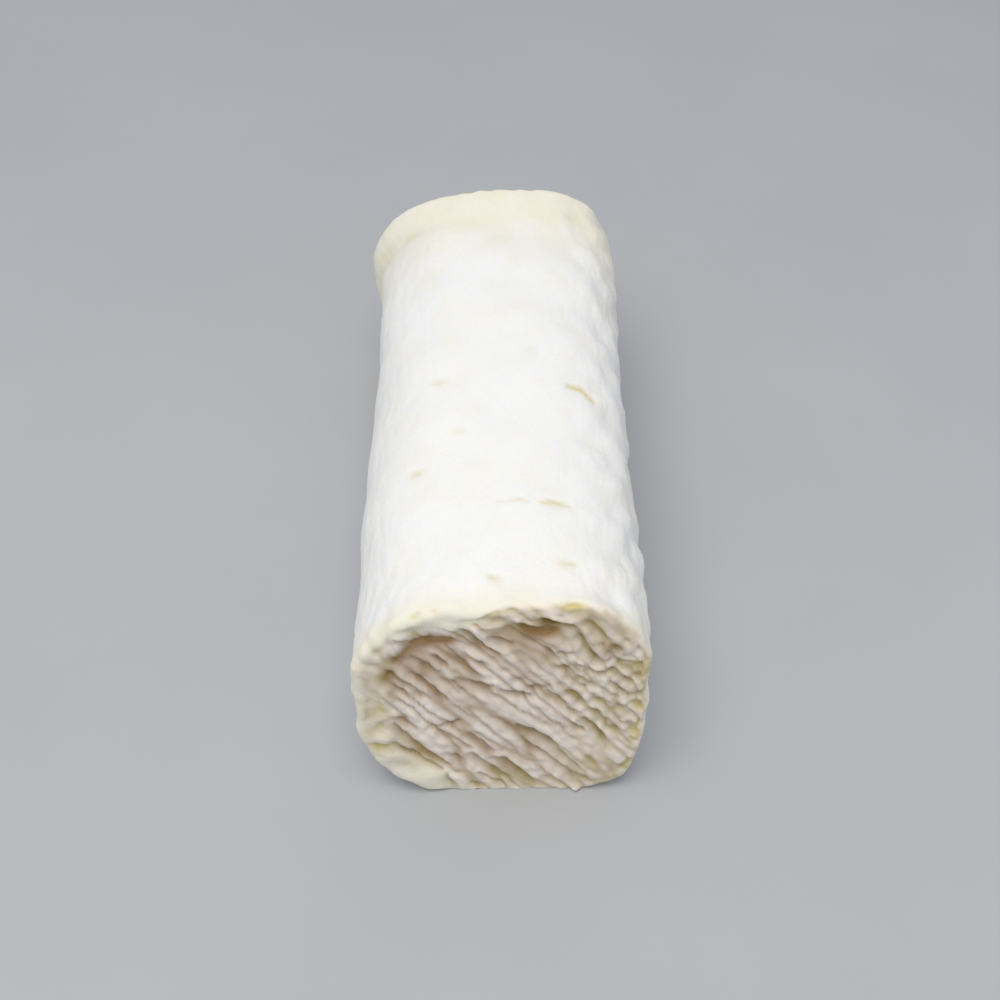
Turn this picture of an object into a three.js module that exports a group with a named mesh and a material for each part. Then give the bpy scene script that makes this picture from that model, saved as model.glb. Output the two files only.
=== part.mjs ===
// A log of soft-ripened sheep's milk cheese, lying on its flattened underside.
// It is one solid: a rounded-square bar with a doughy lip at each end, and end faces that sink
// behind the lip and carry slanting ridges.
// Millimetres, +Z up. X runs across the log, and Y along it, from the front end to the far end.
// The origin is under the middle of the log, on the surface that it lies on.
import * as THREE from "three";
import { mergeVertices } from "three/addons/utils/BufferGeometryUtils.js";

const { clamp, degToRad, lerp, seededRandom, smoothstep } = THREE.MathUtils;

// Size of the log
const LENGTH = 121.4;
const WIDTH = 49.8;
const HEIGHT = 46.6;
const WIDEST_LEVEL = 27; // the height at which the sides stand out furthest
const UNDERSIDE_CUT = 1.2; // how much of the round underside is pressed flat
// Squareness of the section's four quarters, from the upper right one anticlockwise: 2 is an ellipse
const SQUARENESS = [2.8, 2.3, 2.9, 4.6];

// Unevenness of the whole log and of its end edges: its height and its usual wavelength
const LUMP = { height: 0.3, wavelength: 19, seed: 11 };
const EDGE_LUMP = { height: 0.38, wavelength: 7, seed: 23 };

// End edges and lips. A lip stands proud on one side, is full over its first third, and ends in a crease
const EDGE_ROUND = 3.2;
const CREASE_WIDTH = 2.6;
const FRONT_LIP = { proud: 0.5, side: degToRad(15), reach: 10, sway: 1.5, crease: 0.25 };
const FAR_LIP = { proud: 1.3, side: degToRad(170), reach: 9, sway: 2.5, crease: 0.8 };
const FAR_SHIFT = { x: -1, length: 13 }; // the far end has slumped to one side

// End faces. The plain band inside the edge is wide towards the upper left and narrow elsewhere
const BAND = { narrow: 0.8, wide: 6, middle: degToRad(165), spread: degToRad(80) };
const BAND_SOFTNESS = 1.6;
const SUNK = 1.1; // depth of a face behind its lip
const HOLLOW = { x: -13, z: 37, size: 8, depth: 1.7 }; // the deepest place, under the upper left lip

// Ridges of the end faces. They slope down to the right, so the way across them points up right
const RIDGE = { pitch: 3.2, height: 1.1, across: degToRad(38), fan: 0.0028 };
const RIDGE_SWAY = { height: 0.7, wavelength: 15, seed: 37 };
const RIDGE_PATCHES = { weakest: 0.35, wavelength: 11, seed: 41 };

// Facets: the grid of an end face follows its ridges, so it is fine across them and coarse along them
const FACETS = { across: 66, along: 18, length: 18, edge: 3 };
const CORNER = degToRad(27); // where the grid's corners lie on the outline, from the way across
const END_CROWDING = 0.5; // how much closer the rings lie near the ends

// A random field is a sum of this many plane waves, whose wave numbers spread by these factors
const WAVES = { count: 12, slowest: 0.75, fastest: 1.3 };

const RIND = { color: 0xf1ede2, roughness: 0.75, metalness: 0 };

// A smooth random field with values of about -1 to 1: plane waves in seeded directions
function waveField({ wavelength, seed }) {
  seededRandom(seed);
  const waves = Array.from({ length: WAVES.count }, () => {
    const level = 2 * seededRandom() - 1;
    const heading = 2 * Math.PI * seededRandom();
    const flat = Math.sqrt(1 - level * level);
    const number = (2 * Math.PI * lerp(WAVES.slowest, WAVES.fastest, seededRandom())) / wavelength;
    const direction = new THREE.Vector3(flat * Math.cos(heading), flat * Math.sin(heading), level);
    return { vector: direction.multiplyScalar(number), phase: 2 * Math.PI * seededRandom() };
  });
  const sum = (point) => waves.reduce((s, w) => s + Math.sin(w.vector.dot(point) + w.phase), 0);
  return (point) => sum(point) / Math.sqrt(WAVES.count);
}

const lumps = waveField(LUMP);
const edgeLumps = waveField(EDGE_LUMP);
const ridgeSway = waveField(RIDGE_SWAY);
const ridgePatches = waveField(RIDGE_PATCHES);

// Distance from the section's middle to its outline, at an angle counted from +X towards +Z
function outlineRadius(angle) {
  const power = SQUARENESS[Math.floor(((angle / (2 * Math.PI) + 1) % 1) * 4)];
  const upper = Math.sin(angle) > 0;
  const halfHeight = upper ? HEIGHT - WIDEST_LEVEL : WIDEST_LEVEL + UNDERSIDE_CUT;
  const across = Math.abs(Math.cos(angle) / (WIDTH / 2)) ** power;
  const up = Math.abs(Math.sin(angle) / halfHeight) ** power;
  return (across + up) ** (-1 / power);
}

// A point of a square from -1 to 1, drawn in to a disc: its share of the way out, and its angle.
// Lines of constant a stay nearly straight, so the grid's columns run along the ridges
function squareToDisc(a, b) {
  const across = a * Math.cos(b * CORNER);
  const along = Math.sin(b * Math.acos(Math.abs(a) * Math.cos(CORNER)));
  return { share: Math.hypot(across, along), angle: Math.atan2(along, across) };
}

// A ring's place along the log. tilt is how far its surface turns to the front (+) or the far end (-)
function station(ring) {
  const last = FACETS.length - FACETS.edge;
  if (ring <= FACETS.edge) {
    const tilt = (Math.PI / 2) * (1 - ring / FACETS.edge);
    return { y: EDGE_ROUND * (1 - Math.sin(tilt)), tilt };
  }
  if (ring >= last) {
    const tilt = (-Math.PI / 2) * ((ring - last) / FACETS.edge);
    return { y: LENGTH - EDGE_ROUND * (1 + Math.sin(tilt)), tilt };
  }
  const even = (ring - FACETS.edge) / (last - FACETS.edge);
  const crowded = even - (END_CROWDING * Math.sin(2 * Math.PI * even)) / (2 * Math.PI);
  return { y: lerp(EDGE_ROUND, LENGTH - EDGE_ROUND, crowded), tilt: 0 };
}

// How far a lip stands out of the side, with its crease, at a distance from its end
function lipHeight(lip, distance, angle) {
  const reach = lip.reach + lip.sway * Math.cos(2 * angle + lip.side);
  const proud = (lip.proud * (1 + Math.cos(angle - lip.side))) / 2;
  const crease = lip.crease * Math.exp(-(((distance - reach) / CREASE_WIDTH) ** 2));
  return proud * (1 - smoothstep(distance, reach / 3, reach)) - crease;
}

// Height of the ridges at a point of an end face, from the bottom of the grooves
function ridgeHeight(point) {
  const up = point.z - WIDEST_LEVEL;
  const across = point.x * Math.cos(RIDGE.across) + up * Math.sin(RIDGE.across);
  const along = up * Math.cos(RIDGE.across) - point.x * Math.sin(RIDGE.across);
  const swayed = across * (1 + RIDGE.fan * along) + RIDGE_SWAY.height * ridgeSway(point);
  const strength = lerp(RIDGE_PATCHES.weakest, 1, clamp(0.5 + ridgePatches(point), 0, 1));
  return RIDGE.height * strength * Math.abs(Math.sin((Math.PI * swayed) / RIDGE.pitch));
}

// How far an end face lies below the plane of its lip, at a distance in from the outline
function faceDepth(point, angle, inset) {
  const turn = Math.atan2(Math.sin(angle - BAND.middle), Math.cos(angle - BAND.middle));
  const band = lerp(BAND.narrow, BAND.wide, Math.exp(-((turn / BAND.spread) ** 4)));
  const inside = smoothstep(inset, band - BAND_SOFTNESS, band + BAND_SOFTNESS);
  const away = Math.hypot(point.x - HOLLOW.x, point.z - HOLLOW.z) / HOLLOW.size;
  const hollow = HOLLOW.depth * Math.exp(-away * away);
  return inside * (SUNK + hollow - ridgeHeight(point));
}

// The log's surface at a point of a cube from -1 to 1, whose +1 end in t is the log's front
function logPoint(a, b, t) {
  const { share, angle: turned } = squareToDisc(a, b);
  const angle = turned + RIDGE.across;
  const { y, tilt } = station((FACETS.length * (1 - t)) / 2);
  const radius = outlineRadius(angle);
  const edgeInset = EDGE_ROUND * (1 - Math.cos(tilt));
  const reach = share * (radius - edgeInset);

  const point = new THREE.Vector3(reach * Math.cos(angle), y, WIDEST_LEVEL + reach * Math.sin(angle));
  const nearEnd = 1 - smoothstep(Math.min(y, LENGTH - y), 0, 2 * EDGE_ROUND);
  const uneven = LUMP.height * lumps(point) + EDGE_LUMP.height * nearEnd * edgeLumps(point);
  const lips = lipHeight(FRONT_LIP, y, angle) + lipHeight(FAR_LIP, LENGTH - y, angle);
  const outward = share * Math.cos(tilt) * (uneven + lips);
  const depth = faceDepth(point, angle, radius - reach) - uneven;

  point.x += outward * Math.cos(angle) + FAR_SHIFT.x * smoothstep(y, LENGTH - FAR_SHIFT.length, LENGTH);
  point.y += depth * Math.sin(tilt);
  point.z = Math.max(0, point.z + outward * Math.sin(angle));
  return point;
}

// How sharply a quad folds when it is split between its second and its last corner
function foldAngle(a, b, c, d) {
  const first = THREE.Triangle.getNormal(a, b, d, new THREE.Vector3());
  const second = THREE.Triangle.getNormal(b, c, d, new THREE.Vector3());
  return first.angleTo(second);
}

// Each six indices are one quad, split between b and d. Where it lies flatter, it is split the other way
function splitQuadsFlat(geometry) {
  const position = geometry.getAttribute("position");
  const index = geometry.getIndex();
  for (let start = 0; start < index.count; start += 6) {
    const [a, b, d, , c] = index.array.slice(start, start + 6);
    const corners = [a, b, c, d].map((i) => new THREE.Vector3().fromBufferAttribute(position, i));
    const turned = [...corners.slice(1), corners[0]];
    if (foldAngle(...turned) < foldAngle(...corners)) index.set([a, b, c, a, c, d], start);
  }
}

// A finely divided cube, moulded into the log and centred over the origin
function logGeometry() {
  const cube = new THREE.BoxGeometry(2, 2, 2, FACETS.across, FACETS.along, FACETS.length);
  cube.deleteAttribute("normal");
  cube.deleteAttribute("uv");
  const geometry = mergeVertices(cube);
  const position = geometry.getAttribute("position");
  for (let i = 0; i < position.count; i++) {
    const moulded = logPoint(position.getX(i), position.getY(i), position.getZ(i));
    position.setXYZ(i, moulded.x, moulded.y, moulded.z);
  }
  splitQuadsFlat(geometry);
  geometry.computeBoundingBox();
  const middle = geometry.boundingBox.getCenter(new THREE.Vector3());
  geometry.translate(-middle.x, -middle.y, -geometry.boundingBox.min.z);
  geometry.computeVertexNormals();
  return geometry;
}

const log = new THREE.Mesh(logGeometry(), new THREE.MeshStandardMaterial(RIND));
log.name = "cheese_log";

const cheese = new THREE.Group();
cheese.add(log);

export default cheese;
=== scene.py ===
# A log of soft-ripened sheep's milk cheese: bloomy white rind, doughy lips, and ridged end faces.
# Shapes are worked out in millimetres, with X across the log, Y along it from the front face, and
# Z above the floor. They are turned to metres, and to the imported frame, when the mesh is made.
import math

import bpy
import numpy as np
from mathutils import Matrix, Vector


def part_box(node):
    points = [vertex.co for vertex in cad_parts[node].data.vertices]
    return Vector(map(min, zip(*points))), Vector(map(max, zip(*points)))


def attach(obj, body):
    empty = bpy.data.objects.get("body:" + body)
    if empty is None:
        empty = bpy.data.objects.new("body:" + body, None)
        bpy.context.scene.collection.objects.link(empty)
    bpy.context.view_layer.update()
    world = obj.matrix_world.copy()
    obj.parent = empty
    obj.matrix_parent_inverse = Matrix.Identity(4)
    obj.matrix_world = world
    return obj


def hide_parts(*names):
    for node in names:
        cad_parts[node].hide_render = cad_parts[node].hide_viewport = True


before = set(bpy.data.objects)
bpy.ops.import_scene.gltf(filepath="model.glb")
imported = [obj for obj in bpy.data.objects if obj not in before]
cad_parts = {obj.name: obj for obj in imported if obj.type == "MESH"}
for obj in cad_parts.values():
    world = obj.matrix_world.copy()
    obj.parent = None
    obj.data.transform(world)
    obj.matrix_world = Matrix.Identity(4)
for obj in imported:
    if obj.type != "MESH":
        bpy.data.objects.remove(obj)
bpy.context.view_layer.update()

MM = 0.001

# Size of the log, as in the solid that it stands for
LENGTH = 121.4
WIDTH = 49.8
HEIGHT = 46.6
WIDEST_LEVEL = 27.0  # the height at which the sides stand out furthest
UNDERSIDE_CUT = 1.2  # how much of the round underside is pressed flat
SQUARENESS = np.array([2.8, 2.3, 2.9, 4.6])  # of the quarters, from the upper right anticlockwise

# Unevenness of the log and of its front end. Here and below, lumps have a height, a usual wavelength
# and a seed, to which an end face adds its own
LUMPS = {"height": 0.3, "wavelength": 19, "seed": 11}
EDGE_LUMPS = {"height": 0.25, "wavelength": 6, "seed": 23, "reach": 9}

# Rounded end edges
EDGE_ROUND = 1.9
FACING_TILT = 0.7  # radians that the rounded edge turns until it belongs wholly to the end face

# A lip stands proud on one side, given in degrees from +X towards +Z, and a higher focus keeps it closer
# to that side. It is full over the first third of its reach, and ends in a crease
FRONT_LIP = {"proud": 0.3, "side": 25, "focus": 3, "reach": 20, "sway": 1.5, "crease": 0.2}
FAR_LIP = {"proud": 1.9, "side": 165, "focus": 12, "reach": 9, "sway": 2.5, "crease": 1.0}
CREASE_WIDTH = 1.7
FAR_SHIFT = {"x": -1.0, "length": 13.0}  # the far end has slumped to one side

# Bumps and dips of an outline: angle from +X towards +Z, spread in degrees, height
FRONT_EDGE_BUMPS = [(52, 10, 1.0), (104, 13, -1.1), (8, 10, 0.2), (312, 13, -0.4)]
FAR_EDGE_BUMPS = [(52, 20, 1.7), (90, 28, 1.2)]
WAIST_BUMPS = [(5, 45, -1.2), (185, 40, -0.5)]
FRONT_REACH = 7.0
FAR_REACH = 16.0
WAIST = {"y": 80.0, "length": 34.0}

# The plain band of an end face inside its edge, and the depth of the face behind it
BAND = {"narrow": 0.3, "wide": 6.3, "middle": 180, "spread": 71}
BAND_BUMPS = [(142, 15, -2.9), (113, 9, 1.7), (242, 12, 2.2)]
BAND_LUMPS = {"height": 0.7, "wavelength": 5, "seed": 71}
BAND_SOFTNESS = (0.8, 1.8)  # where it is smooth, and where it is rugged
RUGGED = {"middle": 180, "spread": 48}  # the part of the band that is as rough as the face
FOLDS = {"pitch": 2.8, "stretch": 1.4, "depth": 0.5, "seed": 9}  # of the rugged part, which run level
SUNK = 0.1

# Ridges of the end faces slope down to the right, so the way across them points up right.
# They lean away from it: the deeper a point lies, the further it is tucked under the ridge above
RIDGE_ACROSS = math.radians(40)
LEAN = 0.12
WANDER = {"height": 0.15, "wavelength": 6, "seed": 0}  # uses the next seed too, for its second way

# A groove is steep on its upper side and gentle on the lower one, and shallower at its ends
GROOVE = {"steep": 1.2, "gentle": 0.6, "power": 1.3, "ends": 0.55}
GROOVE_DEPTH = 1.4  # times the depths that the tables of grooves give
GROOVE_PATCHES = {"height": 0.2, "wavelength": 4, "seed": 2}

# Fine relief between the grooves. Beads take the place of strands on the right, between these places
STRANDS = {"pitch": 1.9, "stretch": 8.0, "depth": 0.75, "seed": 3}
THREADS = {"pitch": 1.1, "stretch": 3.0, "depth": 0.34, "seed": 5}
BEADS = {"row": 2.2, "pitch": 2.2, "depth": 1.1, "seed": 4}
BEADED = {"right": (6, 13), "low": (9, 17), "high": (36, 41)}
BEAD_SWAY = {"height": 0.3, "wavelength": 3.3, "seed": 7}
PITS = {"height": 0.1, "wavelength": 2.4, "seed": 6}
FINE_RISE = 0.3  # how far the crowns of the fine relief stand out
RIM_FADE = {"inset": (0.2, 2.2), "left": 0.35}  # share of the fine relief that is left at the rim

# Relief of the rind. Its wrinkles run along the log, low on its top and higher on its sides
LONG_WRINKLES = {"height": 1.0, "wavelength": 5.0, "seed": 31}
SHORT_WRINKLES = {"height": 0.5, "wavelength": 2.6, "seed": 32}
WRINKLE_HEIGHT = (0.03, 0.08)
WRINKLE_MIDDLE = 0.5
RIGHT_LUMPS = {"height": 0.28, "wavelength": 7, "seed": 35}
BLOOM_BUMPS = {"height": 0.08, "wavelength": 3.2, "seed": 33}
TOP_LEVEL = 0.8 * HEIGHT  # the nicks and dents of the top lie above this

# Cracks and nicks wander, and show their full colour from a depth. The far crease takes that colour in
# patches, as painted shade
CUT_WANDER = {"height": 0.25, "wavelength": 4, "seed": 34}
CRACK_FULL = 0.5
NICK_FULL = 0.4
CREASE_PATCHES = {"height": 1.0, "wavelength": 9, "seed": 36}

# Where the bloom is thin: this far from both ends. Where grooves are olive: on the right and near edges
CREAM = {"front": 7, "far": 32, "far_full": 3, "far_share": 0.95}
CREAM_PATCHES = {"height": 0.15, "wavelength": 9, "seed": 61}
OLIVE = {"right": (4, 16), "inset": (4, 9)}

# The mesh is a divided cube, whose columns follow the ridges on its end faces
ACROSS, ALONG, RINGS, EDGE_RINGS = 150, 126, 111, 8
CORNER = math.radians(27)  # where the cube's corners lie on the outline, from the way across
ROW_SPREAD = 0.55  # the rows of a face lie between even steps of the angle (0) and of the sine (1)
END_CROWDING = 0.3  # how much closer the rings lie near the ends
NICK_RINGS = (25.1, 57.0)  # where along the log the rings crowd together
NICK_CROWDING = {"share": 0.6, "length": 4.0}

# Grooves of the front face: x and z of the upper end, x and z of the lower end, bow, depth, width
FRONT_GROOVES = [
    # Upper left
    (-17.9, 30.5, -13.2, 24.4, 0.0, 0.9, 0.55),
    (-18.6, 28.0, -14.6, 25.2, -0.3, 0.5, 0.80),
    (-14.6, 34.4, -6.9, 25.8, 0.2, 0.7, 0.50),
    (-14.7, 30.4, -8.6, 23.2, 0.1, 0.9, 0.50),
    (-8.6, 23.2, -4.0, 18.2, 0.1, 0.6, 0.50),
    (-10.8, 34.8, -8.9, 32.3, 0.0, 0.5, 0.55),
    (-9.2, 37.2, -3.1, 29.5, -0.4, 0.8, 0.65),
    (-6.3, 41.6, -0.6, 35.5, -0.5, 1.0, 0.60),
    (-6.9, 38.2, -4.6, 36.8, 0.0, 0.5, 0.50),
    (-1.6, 39.8, 1.8, 37.4, -0.2, 0.8, 0.65),
    (-3.6, 33.4, -1.8, 32.6, 0.0, 0.3, 0.50),
    # Upper right
    (1.0, 41.7, 9.2, 33.8, 0.1, 1.0, 0.55),
    (9.2, 33.8, 15.2, 27.4, -0.2, 0.7, 0.50),
    (3.0, 42.4, 8.8, 40.2, -0.5, 0.75, 0.70),
    (6.8, 43.2, 11.2, 40.8, -0.1, 0.9, 0.60),
    (11.2, 40.8, 15.4, 34.8, 0.1, 0.9, 0.55),
    (15.4, 34.8, 18.3, 33.9, -0.5, 0.8, 0.50),
    (13.2, 41.9, 17.2, 38.4, 0.2, 0.7, 0.55),
    (12.8, 33.2, 15.6, 30.6, 0.0, 0.8, 0.50),
    (15.6, 30.6, 18.7, 31.8, -0.4, 0.7, 0.45),
    (18.5, 32.0, 22.0, 27.8, -0.1, 0.7, 0.50),
    (18.4, 27.8, 21.0, 25.0, -0.1, 0.7, 0.50),
    (21.0, 25.0, 24.4, 26.4, -0.3, 0.6, 0.50),
    (20.0, 33.2, 22.8, 31.6, 0.3, 0.6, 0.50),
    (22.8, 31.6, 23.0, 29.4, 0.0, 0.6, 0.60),
    (8.8, 35.4, 11.2, 35.5, -0.2, 0.4, 0.50),
    # Middle
    (-7.2, 28.9, -1.2, 27.4, -0.5, 0.7, 0.80),
    (1.8, 28.2, 3.8, 29.2, 0.0, 0.5, 0.70),
    (4.6, 26.8, 7.8, 27.3, -0.1, 0.7, 0.50),
    (-0.2, 26.8, 5.2, 25.3, -0.4, 0.9, 0.50),
    (7.8, 26.2, 11.0, 22.6, 0.0, 0.7, 0.50),
    (11.3, 25.8, 14.2, 23.3, 0.0, 0.6, 0.50),
    (16.6, 24.2, 18.6, 22.6, 0.0, 0.6, 0.50),
    (22.0, 23.6, 23.4, 21.6, 0.0, 0.5, 0.50),
    # Lower left
    (-18.3, 17.6, -9.4, 6.6, -0.4, 1.0, 0.50),
    (-18.2, 13.2, -10.2, 5.4, -0.2, 1.0, 0.40),
    (-17.5, 18.9, -14.3, 15.9, 0.0, 0.5, 0.50),
    (-11.8, 17.0, -7.3, 18.0, -0.2, 0.8, 0.50),
    (-10.3, 16.4, -5.2, 11.1, 0.0, 0.7, 0.50),
    (-4.9, 14.5, -1.2, 10.6, 0.0, 0.6, 0.50),
    (-9.6, 9.6, -6.0, 7.8, -0.1, 0.4, 0.50),
    (-4.9, 9.6, 0.0, 4.4, -0.1, 0.7, 0.55),
    (0.0, 4.4, 2.9, 0.8, 0.1, 0.9, 0.50),
    (-3.4, 4.4, 0.6, 0.9, 0.0, 0.8, 0.50),
    (-9.3, 4.5, -7.8, 0.6, -0.4, 0.6, 0.50),
    (-5.6, 1.7, -3.6, 1.2, 0.0, 0.5, 0.60),
    # Lower right
    (-1.4, 19.4, 3.5, 15.4, 0.0, 0.5, 0.50),
    (3.4, 16.8, 9.8, 10.9, 0.6, 0.9, 0.70),
    (9.8, 10.9, 14.3, 5.3, 0.1, 0.9, 0.55),
    (3.5, 13.6, 9.6, 7.7, 0.1, 0.8, 0.45),
    (9.6, 7.7, 13.2, 1.8, 0.4, 0.8, 0.50),
    (11.1, 18.9, 14.6, 15.4, 0.0, 0.7, 0.50),
    (14.3, 18.9, 19.2, 10.8, 0.2, 0.9, 0.60),
    (18.7, 18.8, 20.6, 15.6, 0.0, 0.7, 0.50),
    (15.4, 20.9, 17.0, 20.7, 0.0, 0.5, 0.50),
    (11.6, 21.6, 12.8, 21.0, 0.0, 0.5, 0.50),
    (18.9, 23.2, 21.8, 19.8, 0.0, 0.6, 0.50),
    (0.5, 8.5, 6.2, 0.9, 0.2, 0.7, 0.50),
    (7.4, 4.1, 10.6, 1.2, -0.1, 0.6, 0.60),
    (15.6, 9.1, 17.0, 7.0, 0.0, 0.4, 0.50),
    (14.5, 5.6, 15.4, 3.2, 0.0, 0.4, 0.50),
    (20.6, 6.4, 23.0, 7.8, 0.0, 0.5, 0.70),
]

# Ropes of paste that stand out of the front face, in the same form
FRONT_ROPES = [
    (8.0, 43.9, 11.9, 42.2, -0.1, 0.6, 0.70),
    (11.9, 42.2, 15.8, 36.8, 0.2, 0.6, 0.70),
    (15.8, 36.8, 17.8, 34.6, 0.0, 0.7, 0.70),
    (10.2, 38.0, 15.5, 32.2, 0.0, 0.5, 0.80),
    (15.5, 32.2, 17.8, 32.0, -0.2, 0.5, 0.70),
    (-4.6, 42.6, -0.4, 42.4, 0.2, 0.6, 0.80),
]

# Hollows of the front face, in the same form. They take a painted shadow colour, for the shade under the
# lips and the rim
FRONT_HOLLOWS = [
    (-14.6, 37.8, -7.8, 38.8, 0.2, 0.7, 0.9),
    (-17.6, 33.0, -14.6, 36.8, 0.2, 0.4, 1.2),
    (-19.4, 28.8, -17.6, 31.6, 0.0, 0.35, 1.2),
    (3.4, 41.8, 8.4, 39.6, -0.5, 0.6, 0.8),
    (7.0, 42.8, 8.6, 41.8, 0.0, 0.7, 0.7),
    (17.2, 37.4, 20.0, 36.4, -0.1, 0.35, 0.9),
]
HOLLOW_FULL = 0.35  # the depth from which they wholly take the painted shadow colour

# Yellowish cracks and pits of the band and rim, in the same form. Some are painted shade: the line under the
# top rim and the streak under a lump on the left
FRONT_CRACKS_AND_SHADE = [
    (-6.5, 44.2, 2.4, 45.6, 0.2, 0.3, 0.4),
    (10.4, 46.0, 12.6, 45.8, 0.0, 0.6, 0.7),
    (-14.2, 44.2, -13.6, 44.5, 0.0, 0.3, 0.4),
    (-10.9, 45.5, -10.0, 45.7, 0.0, 0.3, 0.4),
    (22.8, 33.8, 23.2, 30.6, 0.0, 0.5, 0.8),
    (23.2, 23.4, 23.4, 21.8, 0.0, 0.5, 0.6),
    (23.2, 18.2, 24.2, 15.0, 0.0, 0.6, 0.6),
    (22.8, 14.0, 23.4, 13.0, 0.0, 0.5, 0.5),
    (21.8, 7.4, 24.0, 8.0, 0.0, 0.7, 0.6),
    (-22.4, 12.3, -19.0, 12.1, 0.1, 0.7, 0.5),
    (-20.5, 22.6, -20.1, 21.2, 0.0, 0.5, 0.7),
    (-20.7, 17.6, -20.3, 16.9, 0.0, 0.4, 0.6),
    (-22.0, 26.4, -19.6, 26.0, 0.2, 0.3, 0.6),
    (-21.8, 19.8, -19.8, 19.6, 0.2, 0.25, 0.6),
]

# Soft spots of a face: x and z of the middle, half width, half height, and how strong they are.
# The hollow is the depth under the upper left lip, swellings stand out, smears level the ridges, and
# the olive patches are partly the paste's own olive colour and partly painted shade under lumps, under the
# lip and in recesses
HOLLOW = (-10.5, 38.6, 6.0, 4.0, 0.4)
FRONT_SWELLINGS = [
    (-14.5, 3.0, 6.5, 3.2, 0.9),
    (15.5, 6.5, 5.0, 4.5, 0.6),
    (13.4, 0.9, 0.8, 0.8, 0.8),
    (-19.5, 25.2, 1.4, 1.9, 0.7),
    (-19.7, 19.4, 1.4, 1.0, 0.4),
    (-19.7, 14.6, 1.7, 1.3, 0.8),
    (-16.7, 39.0, 1.2, 0.8, 0.5),
    (-18.9, 35.0, 1.1, 1.0, 0.4),
    (-22.4, 28.6, 1.2, 1.2, 0.3),
    (-18.6, 9.4, 1.8, 1.2, 0.4),
]
FRONT_SMEARS = [
    (16.5, 7.0, 6.0, 5.0, 0.1),
    (4.5, 32.5, 3.5, 4.0, 0.45),
    (-15.0, 4.0, 5.0, 4.0, 0.6),
]
FRONT_OLIVE_PATCHES_AND_SHADE = [
    (24.2, 31.6, 1.3, 2.0, 0.9),
    (24.4, 27.6, 1.2, 1.8, 0.5),
    (23.4, 17.4, 0.6, 0.6, 0.9),
    (23.7, 14.0, 0.5, 1.2, 0.5),
    (23.6, 22.0, 0.7, 1.4, 0.5),
    (20.2, 4.0, 1.6, 0.8, 0.4),
    (11.9, 45.6, 0.9, 0.7, 1.0),
    (8.0, 42.4, 0.9, 1.0, 0.7),
    (16.4, 44.0, 0.7, 0.7, 0.5),
    (18.8, 37.6, 1.9, 1.2, 0.5),
    (-14.0, 39.6, 0.9, 0.6, 0.8),
    (-8.4, 39.6, 0.8, 0.8, 0.5),
    (-20.5, 36.9, 1.0, 1.2, 0.4),
    (-18.3, 32.2, 1.0, 1.6, 0.5),
    (-19.6, 29.6, 1.4, 1.2, 0.6),
    (-22.8, 31.2, 1.2, 0.7, 0.3),
    (-22.6, 23.8, 1.6, 0.7, 0.3),
    (-20.0, 21.4, 1.1, 0.7, 0.7),
    (-22.7, 20.8, 1.3, 1.0, 0.4),
    (-19.6, 17.1, 1.3, 0.7, 0.4),
    (-22.4, 16.0, 1.0, 1.6, 0.3),
    (-20.6, 12.2, 2.2, 0.7, 0.5),
    (-15.8, 7.8, 1.6, 1.0, 0.35),
    (-16.4, 13.2, 0.9, 1.0, 0.5),
    (-13.9, 10.4, 0.9, 1.0, 0.5),
    (-11.4, 7.6, 0.9, 1.0, 0.5),
    (-13.4, -0.2, 2.6, 0.7, 0.7),
]

# Nicks of the top: x and y of both ends, bow, depth, width
TOP_NICKS = [
    (-0.5, 25.2, 5.0, 25.1, 0.1, 0.2, 0.3),
    (7.0, 25.1, 12.0, 25.0, 0.1, 0.35, 0.35),
    (12.6, 57.8, 17.6, 55.4, 0.7, 0.45, 0.50),
    (-12.4, 59.2, -9.8, 59.9, 0.0, 0.3, 0.5),
    (4.8, 67.6, 6.6, 67.1, 0.0, 0.3, 0.5),
    (-8.2, 44.9, -6.4, 44.5, 0.0, 0.25, 0.5),
    (-15.6, 35.6, -13.6, 35.4, 0.0, 0.25, 0.5),
    (10.2, 11.2, 12.2, 10.8, 0.0, 0.35, 0.5),
    (-1.6, 7.4, 0.2, 6.9, 0.0, 0.3, 0.5),
]

# Dents of the top: x and y of the middle, half width, half length, and depth
TOP_DENTS = [(15.8, 113.5, 2.2, 2.2, 0.7)]

# Colours, as 8-bit sRGB
COLOURS = {
    "bloom": (246, 245, 243),
    "thin bloom": (244, 241, 226),
    "cream": (240, 232, 208),
    # The crest colours are a painted highlight: paler than the paste, laid on the crowns of the fine relief
    "pink crest highlight": (252, 243, 237),
    "yellow crest highlight": (248, 241, 228),
    "paste": (240, 228, 216),
    "streak": (214, 196, 176),
    # The groove colours are mostly painted shade in grooves, creases and folds, with a little of the paste's
    # own tan and olive tone
    "tan groove shade": (166, 138, 100),
    "olive groove shade": (176, 158, 98),
    # Olive patches, partly the paste's own olive colour and partly painted shade under lumps, under the lip
    # and in recesses
    "olive patch and shade": (190, 174, 96),
    # The yellow of real cracks and nicks, used also as painted shade in the dent, the far crease and a few
    # cracks
    "crack_and_crease_shade": (218, 202, 134),
    # Painted shadow for the hollows under the lips and the rim
    "painted recess shadow": (150, 108, 54),
    "painted olive recess shadow": (138, 112, 54),
    "floor": (176, 178, 182),
    "pale floor": (186, 188, 191),
}


def smooth(value, low, high):
    """0 below low, 1 above high, and an even slope between them."""
    share = np.clip((value - low) / (high - low), 0, 1)
    return share * share * (3 - 2 * share)


def blend(share, first, second):
    """From first to second by a share from 0 to 1."""
    return first + (second - first) * share


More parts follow.
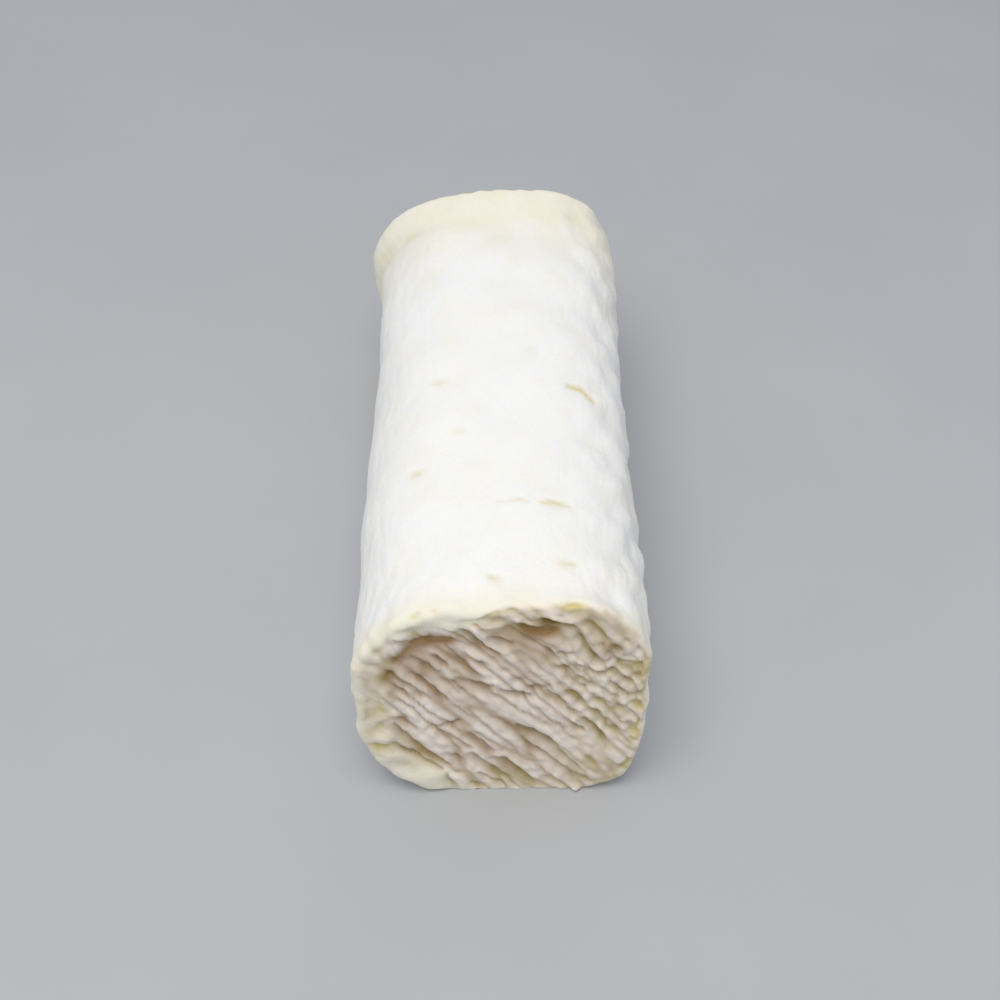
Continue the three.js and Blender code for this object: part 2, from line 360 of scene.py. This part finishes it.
def wave_field(points, wavelength, seed, count=12):
    """A smooth random field of about -1 to 1 at each point: a sum of seeded plane waves."""
    draw = np.random.default_rng(seed)
    total = np.zeros(len(points))
    for _ in range(count):
        direction = draw.normal(size=points.shape[1])
        direction /= np.linalg.norm(direction)
        number = 2 * math.pi * draw.uniform(0.75, 1.3) / wavelength
        total += np.sin(points @ direction * number + draw.uniform(0, 2 * math.pi))
    return total / math.sqrt(count)


def lumps(points, form, own_seed=0):
    """Height of a form of lumps at each point: a wave field."""
    return form["height"] * wave_field(points, form["wavelength"], form["seed"] + own_seed)


def bead_field(across, along, beads, own_seed):
    """Rows of beads side by side: 1 on their crowns, 0 in the creases, which are deeper between rows."""
    draw = np.random.default_rng(beads["seed"] + own_seed)
    total = np.zeros(len(across))
    first_row = math.floor(across.min() / beads["row"])
    last_row = math.ceil(across.max() / beads["row"])
    for row in range(first_row, last_row + 1):
        middle = beads["row"] * (row + draw.uniform(-0.22, 0.22))
        from_row = (across - middle) / (0.66 * beads["row"])
        pitch = beads["pitch"] * draw.uniform(0.75, 1.4)
        start, sway = draw.uniform(0, 2 * math.pi, 2)
        turns = along / pitch + start + 0.3 * np.sin(along / pitch + sway)
        from_bead = turns - np.round(turns)
        total = np.maximum(total, draw.uniform(0.7, 1.0) * (1 - from_row**2 - from_bead**2))
    return total


def strand_field(across, along, strands, own_seed):
    """Strands side by side that split and join: 1 on their crowns, and near 0 in the round creases."""
    stretched = np.stack([across, along / strands["stretch"]], -1)
    wave = wave_field(stretched, 2 * strands["pitch"], strands["seed"] + own_seed, count=24)
    return 1 - np.exp(-1.6 * np.sqrt(wave**2 + 0.02))


def groove_field(plane, grooves):
    """Depth of a set of grooves at each point of a plane."""
    total = np.zeros(len(plane))
    for x0, z0, x1, z1, bow, depth, width in grooves:
        run = np.array([x1 - x0, z1 - z0])
        length = np.linalg.norm(run)
        ahead = run / length
        offset = plane - [x0, z0]
        along = offset @ ahead
        share = np.clip(along / length, 0, 1)
        sideways = offset @ [-ahead[1], ahead[0]] - 4 * bow * share * (1 - share)
        sideways *= np.where(sideways > 0, GROOVE["steep"], GROOVE["gentle"])
        distance = np.hypot(sideways, along - length * share)
        taper = blend(np.sqrt(4 * share * (1 - share)), GROOVE["ends"], 1)
        # High powers add up to the deepest groove alone, with soft joints
        total += (depth * taper * np.exp(-((distance / width) ** GROOVE["power"]))) ** 4
    return total**0.25


def soft_spots(plane, spots):
    """Sum of a set of soft round spots at each point of a plane."""
    total = np.zeros(len(plane))
    for x, z, half_width, half_height, strength in spots:
        away = np.hypot((plane[:, 0] - x) / half_width, (plane[:, 1] - z) / half_height)
        total += strength * np.exp(-(away**2))
    return total


def far_grooves(seed):
    """Grooves for the far face: lanes of broken strokes down the same slope as on the front face."""
    draw = np.random.default_rng(seed)
    lane_pitch, reach, width = 2.9, 23.0, 0.55
    ahead = np.array([math.sin(RIDGE_ACROSS), -math.cos(RIDGE_ACROSS)])
    aside = np.array([math.cos(RIDGE_ACROSS), math.sin(RIDGE_ACROSS)])
    middle = np.array([0.0, HEIGHT / 2])
    grooves = []
    for lane in np.arange(-reach, reach, lane_pitch):
        along = -reach + draw.uniform(0, 5)
        while along < reach:
            length = draw.uniform(6, 17)
            start = middle + (lane + draw.normal(0, 0.4)) * aside + along * ahead
            end = start + length * ahead + draw.normal(0, 0.7) * aside
            bow = draw.normal(0, 0.3)
            depth = draw.uniform(0.45, 1.05)
            grooves.append((*start, *end, bow, depth, width))
            along += length + draw.uniform(0.3, 2.5)
    return grooves


# What the end faces carry. The way is that along Y which leads into the log
FRONT_FACE = {
    "way": 1,
    "seed": 101,
    "grooves": FRONT_GROOVES,
    "ropes": FRONT_ROPES,
    "hollows": FRONT_HOLLOWS,
    "swellings": FRONT_SWELLINGS,
    "smears": FRONT_SMEARS,
    "olive_patches_and_shade": FRONT_OLIVE_PATCHES_AND_SHADE,
}
FAR_FACE = {
    "way": -1,
    "seed": 151,
    "grooves": far_grooves(7),
    "ropes": [],
    "hollows": [],
    "swellings": [],
    "smears": [],
    "olive_patches_and_shade": [],
}


def turn_from(angle, degrees):
    """The turn from a direction in degrees to each angle, in degrees from -180 to 180."""
    turn = angle - math.radians(degrees)
    return np.degrees(np.arctan2(np.sin(turn), np.cos(turn)))


def sector_share(angle, sector):
    """1 in the middle of a sector of the outline, and 0 well past its spread to both sides."""
    return np.exp(-((turn_from(angle, sector["middle"]) / sector["spread"]) ** 4))


def outline_radius(angle):
    """Distance from the section's middle to its outline, at an angle from +X towards +Z."""
    power = SQUARENESS[np.floor(((angle / (2 * math.pi) + 1) % 1) * 4).astype(int)]
    half_height = np.where(np.sin(angle) > 0, HEIGHT - WIDEST_LEVEL, WIDEST_LEVEL + UNDERSIDE_CUT)
    across = np.abs(np.cos(angle) / (WIDTH / 2)) ** power
    up = np.abs(np.sin(angle) / half_height) ** power
    return (across + up) ** (-1 / power)


def lip_shape(lip, distance, angle):
    """Two shares at each point: how full a lip is there, and how deep the crease is that ends it."""
    side = math.radians(lip["side"])
    reach = lip["reach"] + lip["sway"] * np.cos(2 * angle + side)
    beside = ((1 + np.cos(angle - side)) / 2) ** lip["focus"]
    full = beside * (1 - smooth(distance, reach / 3, reach))
    return full, beside * np.exp(-(((distance - reach) / CREASE_WIDTH) ** 2))


def lip_height(lip, distance, angle):
    """How far a lip stands out of the side, with the crease that ends it."""
    full, crease = lip_shape(lip, distance, angle)
    return lip["proud"] * full - lip["crease"] * crease


def outline_bumps(angle, bumps):
    """Height of a set of bumps and dips of the outline at each angle."""
    return sum(height * np.exp(-((turn_from(angle, at) / spread) ** 2)) for at, spread, height in bumps)


def uneven_outline(y, angle):
    """How far the log's outline departs from its even section: lips, end edges and waist."""
    outward = lip_height(FRONT_LIP, y, angle) + lip_height(FAR_LIP, LENGTH - y, angle)
    outward += outline_bumps(angle, FRONT_EDGE_BUMPS) * (1 - smooth(y, 0, FRONT_REACH))
    outward += outline_bumps(angle, FAR_EDGE_BUMPS) * smooth(y, LENGTH - FAR_REACH, LENGTH)
    outward += outline_bumps(angle, WAIST_BUMPS) * np.exp(-(((y - WAIST["y"]) / WAIST["length"]) ** 2))
    return outward


def log_grid():
    """The divided cube: a and b across an end face, the ring of each point, and the quads."""
    a = np.linspace(-1, 1, ACROSS + 1)
    even = np.linspace(-1, 1, ALONG + 1)
    b = blend(ROW_SPREAD, even, np.arcsin(even) * 2 / math.pi)
    face_a, face_b = (part.ravel() for part in np.meshgrid(a, b, indexing="ij"))
    number = np.arange(len(face_a)).reshape(ACROSS + 1, ALONG + 1)
    rim = np.concatenate([number[:-1, 0], number[-1, :-1], number[:0:-1, -1], number[0, :0:-1]])
    size, around = len(face_a), len(rim)

    ring = np.concatenate([np.zeros(size), np.repeat(np.arange(1, RINGS), around), np.full(size, RINGS)])
    all_a = np.concatenate([face_a, np.tile(face_a[rim], RINGS - 1), face_a])
    all_b = np.concatenate([face_b, np.tile(face_b[rim], RINGS - 1), face_b])

    corners = [number[:-1, :-1], number[1:, :-1], number[1:, 1:], number[:-1, 1:]]
    front = np.stack(corners, -1).reshape(-1, 4)
    far_start = size + around * (RINGS - 1)
    loops = [rim] + [size + around * k + np.arange(around) for k in range(RINGS - 1)] + [rim + far_start]
    sides = []
    for near, next_one in zip(loops[:-1], loops[1:]):
        sides.append(np.stack([near, next_one, np.roll(next_one, -1), np.roll(near, -1)], -1))
    return all_a, all_b, ring, np.concatenate([front, *sides, front[:, ::-1] + far_start])


def ring_places(ring):
    """Where each ring lies along the log, and how far it turns to the front (+) or the far end (-)."""
    tilt = np.clip(1 - ring / EDGE_RINGS, 0, 1) - np.clip(1 - (RINGS - ring) / EDGE_RINGS, 0, 1)
    tilt *= math.pi / 2
    body = np.clip((ring - EDGE_RINGS) / (RINGS - 2 * EDGE_RINGS), 0, 1)
    body -= END_CROWDING * np.sin(2 * math.pi * body) / (2 * math.pi)
    y = EDGE_ROUND + (LENGTH - 2 * EDGE_ROUND) * body - EDGE_ROUND * np.sin(tilt)
    for nick in NICK_RINGS:
        near = np.exp(-(((y - nick) / NICK_CROWDING["length"]) ** 2))
        y += NICK_CROWDING["share"] * (nick - y) * near
    return y, tilt


def log_form(a, b, ring):
    """The log without its relief: points, and the places that relief and colours are masked by."""
    across = a * np.cos(b * CORNER)
    along = np.sin(b * np.arccos(np.abs(a) * math.cos(CORNER)))
    share = np.hypot(across, along)
    angle = np.arctan2(along, across) + RIDGE_ACROSS
    y, tilt = ring_places(ring)

    radius = outline_radius(angle)
    reach = share * (radius - EDGE_ROUND * (1 - np.cos(tilt)))
    points = np.stack([reach * np.cos(angle), y, WIDEST_LEVEL + reach * np.sin(angle)], -1)
    outward = uneven_outline(y, angle) + lumps(points, LUMPS)
    outward += (1 - smooth(y, 0, EDGE_LUMPS["reach"])) * lumps(points, EDGE_LUMPS)
    outward *= share**2
    slump = FAR_SHIFT["x"] * smooth(y, LENGTH - FAR_SHIFT["length"], LENGTH)
    points[:, 0] += outward * np.cos(angle) + slump
    points[:, 2] += outward * np.sin(angle)

    # The plane of an end face, with the rounded edge unrolled into it
    unrolled = share * (radius - EDGE_ROUND + EDGE_ROUND * (math.pi / 2 - np.abs(tilt)))
    places = {
        "y": y,
        "angle": angle,
        "tilt": tilt,
        "facing": smooth(np.abs(tilt), 0, FACING_TILT),
        "inset": radius - reach,
        "doughy": sector_share(angle, BAND),
        "plane": np.stack([unrolled * np.cos(angle), WIDEST_LEVEL + unrolled * np.sin(angle)], -1),
    }
    return points, places


def vertex_normals(points, quads):
    """Unit normals of the points, from the crossed diagonals of the quads round them."""
    corners = points[quads]
    crossed = np.cross(corners[:, 2] - corners[:, 0], corners[:, 3] - corners[:, 1])
    normals = np.zeros_like(points)
    for corner in range(4):
        np.add.at(normals, quads[:, corner], crossed)
    return normals / np.maximum(np.linalg.norm(normals, axis=1, keepdims=True), 1e-12)


def paste_share(points, places):
    """1 where an end face shows the paste inside its band, and 0 on the rind."""
    angle, doughy = places["angle"], places["doughy"]
    band = blend(doughy, BAND["narrow"], BAND["wide"]) + outline_bumps(angle, BAND_BUMPS)
    band += doughy * lumps(points, BAND_LUMPS)
    softness = blend(sector_share(angle, RUGGED), *BAND_SOFTNESS)
    return smooth(places["inset"], band - softness, band + softness) * places["facing"]


def ridge_relief(plane, grooves, seed):
    """Depth of the grooves of an end face, depth of the fine relief between them, and its creases' share."""
    moved = plane + np.stack([lumps(plane, WANDER, seed), lumps(plane, WANDER, seed + 1)], -1)
    across = moved @ [math.cos(RIDGE_ACROSS), math.sin(RIDGE_ACROSS)]
    along = moved @ [-math.sin(RIDGE_ACROSS), math.cos(RIDGE_ACROSS)]
    groove = groove_field(moved, grooves) * (1 + lumps(plane, GROOVE_PATCHES, seed))

    beaded = smooth(plane[:, 0], *BEADED["right"]) * smooth(plane[:, 1], *BEADED["low"])
    beaded *= 1 - smooth(plane[:, 1], *BEADED["high"])
    beads = bead_field(across + lumps(plane, BEAD_SWAY, seed), along, BEADS, seed)
    strands = strand_field(across, along, STRANDS, seed)
    crease = blend(beaded, 1 - strands, 1 - beads)
    depth = blend(beaded, STRANDS["depth"], BEADS["depth"]) * crease
    depth += THREADS["depth"] * (1 - strand_field(across, along, THREADS, seed))
    depth += lumps(plane, PITS, seed)
    return groove, depth - FINE_RISE, crease


def face_relief(places, paste, face):
    """How each point of an end face moves, and the shares of its colours there, painted shade and highlight
    among them.
    """
    plane, angle, inset = places["plane"], places["angle"], places["inset"]
    groove, fine, crease = ridge_relief(plane, face["grooves"], face["seed"])
    level = blend(smooth(inset, *RIM_FADE["inset"]), RIM_FADE["left"], 1.0)
    level *= 1 - soft_spots(plane, face["smears"])
    ridge = GROOVE_DEPTH * groove + paste * level * fine - groove_field(plane, face["ropes"])

    rugged = sector_share(angle, RUGGED) * (1 - paste) * smooth(inset, 0.6, 2.6)
    fold = rugged * (1 - strand_field(plane[:, 1], plane[:, 0], FOLDS, face["seed"]))
    hollow = groove_field(plane, face["hollows"])
    sunk = paste * (SUNK + soft_spots(plane, [HOLLOW])) + FOLDS["depth"] * fold + hollow
    sunk -= soft_spots(plane, face["swellings"])

    tucked = LEAN * ridge
    inward = face["way"] * (sunk + ridge)
    move = np.stack([tucked * math.cos(RIDGE_ACROSS), inward, tucked * math.sin(RIDGE_ACROSS)], -1)
    # Painted shade: darker in the grooves, in the creases of the fine relief and in the folds of the band
    painted_groove_shade = groove**0.8 + 0.7 * paste * smooth(crease, 0.3, 0.95) + 0.5 * fold
    shares = {
        "paste": np.clip(paste + 0.85 * rugged, 0, 1),
        "groove": np.clip(painted_groove_shade, 0, 1),
        # The crowns of the fine relief take a painted highlight
        "crest": 1 - smooth(crease, 0.1, 0.5),
        # The hollows take a painted shadow
        "recess_shadow": np.clip(hollow / HOLLOW_FULL, 0, 1),
        # Olive patches, partly real colour and partly painted shade
        "olive_patch_shade": np.clip(soft_spots(plane, face["olive_patches_and_shade"]), 0, 1),
    }
    return move * places["facing"][:, None], shares


def rind_relief(points, places, paste):
    """Height of the rind's wrinkles, bumps, cracks, nicks and dents, and the share of crack colour, which is
    also painted shade in the dent, the far crease and some of the cracks.
    """
    y, tilt, angle = places["y"], places["tilt"], places["angle"]
    rind = 1 - paste
    stretched = points * [1, 0.5, 1]
    wrinkle = np.abs(lumps(stretched, LONG_WRINKLES)) + np.abs(lumps(stretched, SHORT_WRINKLES))
    on_side = smooth(np.abs(np.cos(angle)), 0.4, 0.85)
    height = rind * blend(on_side, *WRINKLE_HEIGHT) * (wrinkle - WRINKLE_MIDDLE)
    height += rind * smooth(np.cos(angle), 0.5, 0.8) * lumps(points, RIGHT_LUMPS)
    height += rind * blend(smooth(y, 2, 12), 1.0, 0.5) * lumps(points, BLOOM_BUMPS)

    crack_and_crease_shade = np.zeros(len(points))
    wander = lumps(points, CUT_WANDER)[:, None]
    on_top = (tilt == 0) & (points[:, 2] > TOP_LEVEL)
    cuts = (
        (tilt > 0, places["plane"], FRONT_CRACKS_AND_SHADE, CRACK_FULL),
        (on_top, points[:, :2], TOP_NICKS, NICK_FULL),
    )
    for chosen, plane, table, full in cuts:
        depth = groove_field((plane + wander)[chosen], table)
        height[chosen] -= depth
        crack_and_crease_shade[chosen] = np.clip(depth / full, 0, 1)

    dent = soft_spots(points[:, :2], TOP_DENTS) * on_top
    height -= dent
    # Painted shade: the crack colour also goes into the top's dent, and in patches into the far crease
    far_crease = lip_shape(FAR_LIP, LENGTH - y, angle)[1] * smooth(lumps(points, CREASE_PATCHES), -0.8, 0.8)
    crack_and_crease_shade = np.maximum(crack_and_crease_shade, np.clip(0.4 * dent + 0.8 * far_crease, 0, 1))
    return height * smooth(points[:, 2], -0.5, 2.0), crack_and_crease_shade


def cream_share(points, places):
    """1 where the bloom is thin and the cheese shows through cream: the front edge and the far end."""
    front = 1 - smooth(places["y"], 0, CREAM["front"])
    far = CREAM["far_share"] * smooth(places["y"], LENGTH - CREAM["far"], LENGTH - CREAM["far_full"])
    return np.clip(np.maximum(front, far) + lumps(points, CREAM_PATCHES), 0, 1)


def olive_share(points, places):
    """1 where grooves are olive rather than tan."""
    return np.maximum(smooth(points[:, 0], *OLIVE["right"]), 1 - smooth(places["inset"], *OLIVE["inset"]))


def log_mesh():
    """The log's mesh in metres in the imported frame, and the place of the log's own origin there."""
    a, b, ring, quads = log_grid()
    form, places = log_form(a, b, ring)
    paste = paste_share(form, places)
    height, crack_and_crease_shade = rind_relief(form, places, paste)
    shares = {"paste": paste, "crack_and_crease_shade": crack_and_crease_shade, "cream": cream_share(form, places)}
    shares["olive"] = olive_share(form, places)
    shares.update({name: np.zeros(len(form)) for name in ("groove", "crest", "recess_shadow", "olive_patch_shade")})

    points = form.copy()
    for face in (FRONT_FACE, FAR_FACE):
        chosen = np.sign(places["tilt"]) == face["way"]
        face_places = {name: value[chosen] for name, value in places.items()}
        move, face_shares = face_relief(face_places, paste[chosen], face)
        points[chosen] += move
        for name, share in face_shares.items():
            shares[name][chosen] = share
    points += vertex_normals(points, quads) * height[:, None]
    points[:, 2] = np.maximum(points[:, 2], 0)

    # The middle of the log lies over the middle of the solid's box
    low, high = (np.array(corner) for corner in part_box("cheese_log"))
    origin = (low + high) / 2 - (form.min(0) + form.max(0)) / 2 * MM
    origin[2] = low[2]

    mesh = bpy.data.meshes.new("cheese")
    mesh.from_pydata((points * MM + origin).tolist(), [], quads.tolist())
    mesh.update()
    mesh.shade_smooth()
    for name, share in shares.items():
        mesh.attributes.new(name, "FLOAT", "POINT").data.foreach_set("value", share.astype(np.float32))
    return mesh, origin


def linear(name):
    """A named colour as the linear RGBA that a shader socket takes."""
    channels = (np.array(COLOURS[name]) / 255) ** 2.2
    return (*channels, 1.0)


class Nodes:
    """Adds nodes to a material's tree and links them, so that a material reads from top to bottom."""

    def __init__(self, material):
        material.use_nodes = True
        self.tree = material.node_tree
        self.shader = self.tree.nodes["Principled BSDF"]

    def add(self, kind, inputs=(), **settings):
        node = self.tree.nodes.new(kind)
        for name, value in settings.items():
            setattr(node, name, value)
        for socket, value in dict(inputs).items():
            self.put(node.inputs[socket], value)
        return node

    def put(self, socket, value):
        if isinstance(value, bpy.types.NodeSocket):
            self.tree.links.new(value, socket)
        else:
            socket.default_value = value

    def share(self, name):
        return self.add("ShaderNodeAttribute", attribute_name=name).outputs["Fac"]

    def noise(self, where, scale, detail=3.0, roughness=0.55):
        inputs = {"Vector": where, "Scale": scale, "Detail": detail, "Roughness": roughness}
        return self.add("ShaderNodeTexNoise", inputs).outputs["Fac"]

    def math(self, operation, first, second=0.0):
        return self.add("ShaderNodeMath", {0: first, 1: second}, operation=operation).outputs[0]

    def ramp(self, value, low, high, to_low=0.0, to_high=1.0):
        inputs = {"Value": value, "From Min": low, "From Max": high, "To Min": to_low, "To Max": to_high}
        return self.add("ShaderNodeMapRange", inputs).outputs["Result"]

    def mix(self, share, first, second):
        node = self.add("ShaderNodeMix", {0: share, 6: first, 7: second}, data_type="RGBA")
        return node.outputs[2]

    def lay(self, colour, over, share, strength):
        """A colour laid over another by a share, which counts with a strength of 0 to 1."""
        return self.mix(self.math("MULTIPLY", share, strength), over, colour)


def cheese_material():
    """White bloom on the rind; beige paste with a painted highlight on its crowns, tan and olive painted
    shade in its grooves and painted shadow in its hollows; and a fine powdery grain.
    """
    material = bpy.data.materials.new("cheese_rind_and_paste")
    nodes = Nodes(material)
    where = nodes.add("ShaderNodeTexCoord").outputs["Object"]
    paste = nodes.share("paste")
    olive = nodes.share("olive")
    speck = nodes.noise(where, 420, 4.0)

    blotch = nodes.ramp(nodes.noise(where, 90), 0.45, 0.7)
    rind = nodes.lay(linear("thin bloom"), linear("bloom"), blotch, 0.3)
    rind = nodes.lay(linear("cream"), rind, nodes.share("cream"), 0.75)

    # The grain of the paste runs along the ridges
    turned = {"Vector": where, "Rotation": (0, -RIDGE_ACROSS, 0), "Scale": (1, 1, 7)}
    grain = nodes.add("ShaderNodeMapping", turned, vector_type="TEXTURE").outputs["Vector"]
    streak = nodes.ramp(nodes.noise(grain, 700), 0.35, 0.65, 0.35, 0.0)
    patch = nodes.ramp(nodes.noise(where, 200), 0.35, 0.65)
    # The crowns get a painted highlight, paler than the paste, in a random mix of pink and yellow tone
    crest = nodes.mix(patch, linear("pink crest highlight"), linear("yellow crest highlight"))
    beige = nodes.mix(nodes.share("crest"), linear("paste"), crest)
    beige = nodes.mix(streak, beige, linear("streak"))

    # Painted shade for grooves, creases and folds: tan on the left, olive on the right and near the edges
    groove = nodes.mix(olive, linear("tan groove shade"), linear("olive groove shade"))
    # Painted shadow colour for the hollows under the lips and the rim
    hollow = nodes.mix(olive, linear("painted recess shadow"), linear("painted olive recess shadow"))
    colour = nodes.mix(paste, rind, beige)
    colour = nodes.lay(groove, colour, nodes.share("groove"), 0.9)
    # Olive patches: partly the paste's own colour, partly painted shade under lumps, under the lip and in
    # recesses
    colour = nodes.lay(linear("olive patch and shade"), colour, nodes.share("olive_patch_shade"), 0.8)
    # Crack colour: real cracks and nicks, and painted shade in the dent, the far crease and a few cracks
    colour = nodes.lay(linear("crack_and_crease_shade"), colour, nodes.share("crack_and_crease_shade"), 0.8)
    colour = nodes.lay(hollow, colour, nodes.share("recess_shadow"), 0.9)
    nodes.put(nodes.shader.inputs["Base Color"], colour)

    dry = nodes.ramp(speck, 0.3, 0.7, 0.72, 0.9)
    moist = nodes.ramp(speck, 0.3, 0.7, 0.42, 0.6)
    nodes.put(nodes.shader.inputs["Roughness"], nodes.ramp(paste, 0.0, 1.0, dry, moist))

    powder = nodes.math("ADD", speck, nodes.noise(where, 1500, 2.0))
    powder = nodes.math("ADD", powder, nodes.math("MULTIPLY", paste, nodes.noise(grain, 1300)))
    bump = nodes.add("ShaderNodeBump", {"Height": powder, "Strength": 0.3, "Distance": 0.3 * MM})
    nodes.put(nodes.shader.inputs["Normal"], bump.outputs["Normal"])

    nodes.put(nodes.shader.inputs["Subsurface Weight"], 0.25)
    nodes.put(nodes.shader.inputs["Subsurface Radius"], (1.0, 0.85, 0.6))
    nodes.put(nodes.shader.inputs["Subsurface Scale"], 0.6 * MM)
    nodes.put(nodes.shader.inputs["IOR"], 1.42)
    return material


def floor_material():
    """A plain pale surface with a hardly visible unevenness."""
    material = bpy.data.materials.new("floor_pale")
    nodes = Nodes(material)
    where = nodes.add("ShaderNodeTexCoord").outputs["Object"]
    colour = nodes.mix(nodes.noise(where, 14, 4.0), linear("floor"), linear("pale floor"))
    nodes.put(nodes.shader.inputs["Base Color"], colour)
    nodes.put(nodes.shader.inputs["Roughness"], 0.8)
    return material


def add_cheese():
    """The log itself, on the body that the frame gives it. Returns where its own origin lies."""
    mesh, origin = log_mesh()
    cheese = bpy.data.objects.new("cheese", mesh)
    bpy.context.collection.objects.link(cheese)
    cheese.data.materials.append(cheese_material())
    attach(cheese, "root")
    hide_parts("cheese_log")
    return origin


def add_floor():
    """A wide square floor at the height that the log rests on."""
    half = 1.5
    corners = [(-half, -half, 0), (half, -half, 0), (half, half, 0), (-half, half, 0)]
    mesh = bpy.data.meshes.new("floor")
    mesh.from_pydata(corners, [], [(0, 1, 2, 3)])
    floor = bpy.data.objects.new("floor", mesh)
    bpy.context.collection.objects.link(floor)
    floor.data.materials.append(floor_material())


def add_light():
    """A wide soft light overhead, a little to the left and in front, with a pale surround."""
    light = bpy.data.lights.new("overhead", "AREA")
    light.shape = "SQUARE"
    light.size = 0.5
    light.energy = 3.15
    light.color = (1.0, 0.975, 0.925)
    lamp = bpy.data.objects.new("overhead", light)
    bpy.context.collection.objects.link(lamp)
    lamp.location = (-0.1, -0.28, 0.72)
    target = Vector((0, 0, 0.02))
    lamp.rotation_euler = (target - lamp.location).to_track_quat("-Z", "Y").to_euler()

    world = bpy.data.worlds.new("surround")
    world.use_nodes = True
    background = world.node_tree.nodes["Background"]
    background.inputs["Color"].default_value = (0.92, 0.95, 1.0, 1.0)
    background.inputs["Strength"].default_value = 0.58
    bpy.context.scene.world = world


def add_camera(origin):
    """The photograph's view: from in front of the log's end, looking down along it."""
    view = {"back": 190.6, "height": 246.3, "down": 42.74, "lens": 62.27}
    camera = bpy.data.cameras.new("camera")
    camera.sensor_width = 36.0
    camera.lens = view["lens"]
    viewer = bpy.data.objects.new("camera", camera)
    bpy.context.collection.objects.link(viewer)
    viewer.location = Vector(origin) + Vector((0, -view["back"], view["height"])) * MM
    viewer.rotation_euler = (math.radians(90 - view["down"]), 0, 0)
    bpy.context.scene.camera = viewer


log_origin = add_cheese()
add_floor()
add_light()
add_camera(log_origin)
bpy.context.scene.view_settings.view_transform = "Standard"
